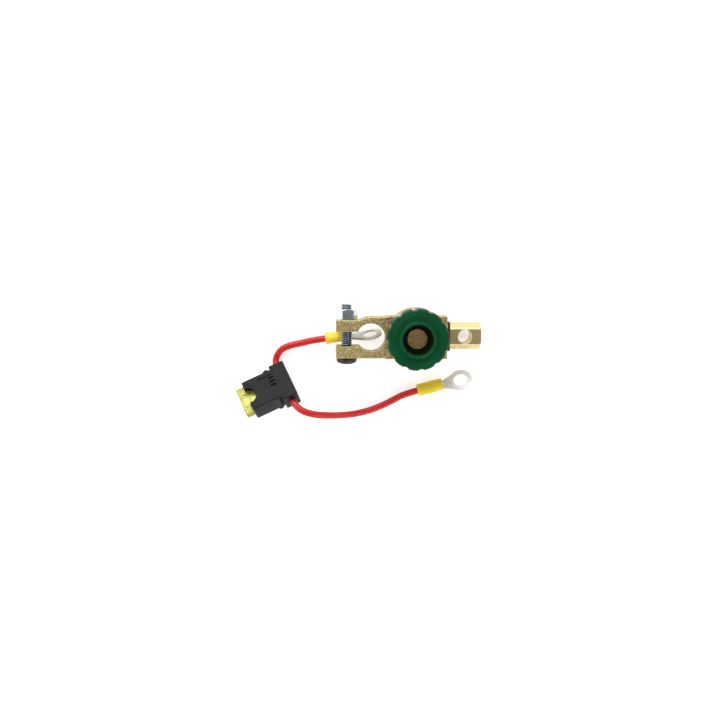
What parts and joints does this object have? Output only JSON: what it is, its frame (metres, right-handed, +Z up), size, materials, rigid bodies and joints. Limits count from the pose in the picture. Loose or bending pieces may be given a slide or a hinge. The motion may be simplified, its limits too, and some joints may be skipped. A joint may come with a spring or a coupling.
{
  "type": "anti-theft battery terminal",
  "caption": "Battery post clamp with a screw knob that opens the circuit to its cable stud, and a fused ring-terminal lead that bridges the two while the knob is open.",
  "frame": {"origin": "under the axis of the knob, on the flat face of the stud casting that the part rests on", "axes": "+X runs from the battery post clamp to the cable stud, +Y points to the nut end of the clamp bolt, +Z points up along the post and out of the knob"},
  "size_m": [0.1503, 0.0719, 0.0359],
  "materials": {
    "cast_brass": "sand cast, tumbled",
    "stud_brass": "machined, light",
    "brown_fibre": "pressed fibre board",
    "white_nylon": "moulded",
    "zinc_steel": "bright zinc plate",
    "bolt_steel": "zinc plate, dark head",
    "green_plastic": "moulded, fine texture",
    "screw_brass": "turned, tarnished",
    "seal_rubber": "flat ring",
    "tinned_copper": "bright tin plate",
    "yellow_sleeve": "soft vinyl",
    "red_insulation": "extruded vinyl",
    "black_plastic": "moulded, spark texture",
    "tinned_brass": "tin plate",
    "clear_yellow": "clear tinted",
    "fuse_metal": "zinc strip"
  },
  "bodies": {
    "base": {"clamp_casting": "cast_brass", "stud_casting": "stud_brass", "insulator_plate": "brown_fibre", "bush_front": "white_nylon", "bush_rear": "white_nylon", "tie_screws": "zinc_steel", "clamp_bolt": "bolt_steel", "clamp_nut": "zinc_steel", "ring_terminal_a": "tinned_copper", "ring_terminal_b": "tinned_copper", "sleeve_a": "yellow_sleeve", "sleeve_b": "yellow_sleeve", "cable_a": "red_insulation", "cable_b": "red_insulation", "holder_top": "black_plastic", "holder_bottom": "black_plastic", "fuse_contact_a": "tinned_brass", "fuse_contact_b": "tinned_brass"},
    "knob_lift": {"knob_seal": "seal_rubber"},
    "knob": {"knob": "green_plastic", "contact_screw": "screw_brass"},
    "fuse": {"fuse_body": "clear_yellow", "fuse_link": "fuse_metal"}
  },
  "joints": [
    {"name": "knob_rise", "type": "slide", "parent": "base", "child": "knob_lift", "axis": [0, 0, 1], "range_m": [0, 0.00701]},
    {"name": "knob_turn", "type": "hinge", "parent": "knob_lift", "child": "knob", "pos_m": [0, 0, 0.0235], "axis": [0, 0, 1], "range_deg": [0, 1440]},
    {"name": "fuse_pull", "type": "slide", "parent": "base", "child": "fuse", "axis": [-0.8997, -0.4006, 0.1736], "range_m": [0, 0.012]}
  ],
  "couplings": [
    {"joint": "knob_rise", "follows": "knob_turn", "m_per_rad": 0.00027852}
  ]
}
